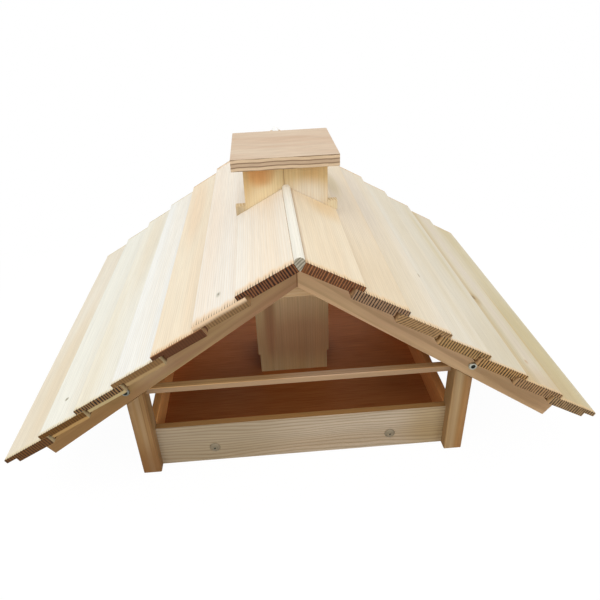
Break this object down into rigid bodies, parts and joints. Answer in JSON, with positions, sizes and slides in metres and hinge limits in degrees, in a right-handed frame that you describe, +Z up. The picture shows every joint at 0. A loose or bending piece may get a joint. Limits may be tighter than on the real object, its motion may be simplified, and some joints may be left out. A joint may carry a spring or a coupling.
{
  "type": "bird feeder",
  "caption": "Free-standing wooden bird feeder with a lapped-board gable roof, an open seed tray, perch bars and a central feed silo under a lift-off cap.",
  "frame": {"origin": "middle of the base, on the ground the posts stand on", "axes": "+Z up, the ridge runs along Y and the front looks towards -Y, +X to the right seen from the front"},
  "size_m": [0.65, 0.498, 0.3446],
  "materials": {
    "frame_wood": "planed",
    "roof_wood": "planed",
    "silo_wood": "planed",
    "cap_plywood": "sanded",
    "floor_film": "satin",
    "screw_steel": "zinc plated"
  },
  "bodies": {
    "house": {"post_front_left": "frame_wood", "post_front_right": "frame_wood", "post_back_left": "frame_wood", "post_back_right": "frame_wood", "tray_floor": "floor_film", "tray_board_front": "frame_wood", "tray_board_back": "frame_wood", "tray_board_left": "frame_wood", "tray_board_right": "frame_wood", "rafter_front_left": "frame_wood", "rafter_front_right": "frame_wood", "rafter_back_left": "frame_wood", "rafter_back_right": "frame_wood", "gusset_front": "frame_wood", "gusset_back": "frame_wood", "perch_bar_front": "frame_wood", "perch_bar_back": "frame_wood", "roof_board_left_1": "roof_wood", "roof_board_left_2": "roof_wood", "roof_board_left_3": "roof_wood", "roof_board_left_4": "roof_wood", "roof_board_left_5": "roof_wood", "roof_board_left_6": "roof_wood", "roof_board_left_7": "roof_wood", "roof_board_right_1": "roof_wood", "roof_board_right_2": "roof_wood", "roof_board_right_3": "roof_wood", "roof_board_right_4": "roof_wood", "roof_board_right_5": "roof_wood", "roof_board_right_6": "roof_wood", "roof_board_right_7": "roof_wood", "ridge_strip_front": "roof_wood", "ridge_strip_back": "roof_wood", "silo_board_front": "silo_wood", "silo_board_back": "silo_wood", "silo_board_left": "silo_wood", "silo_board_right": "silo_wood", "tray_screws": "screw_steel", "rafter_screws": "screw_steel"},
    "cap": {"chimney_cap": "cap_plywood", "cap_block": "silo_wood"}
  },
  "joints": [
    {"name": "cap_lift", "type": "slide", "parent": "house", "child": "cap", "axis": [0, 0, 1], "range_m": [0, 0.12]}
  ]
}
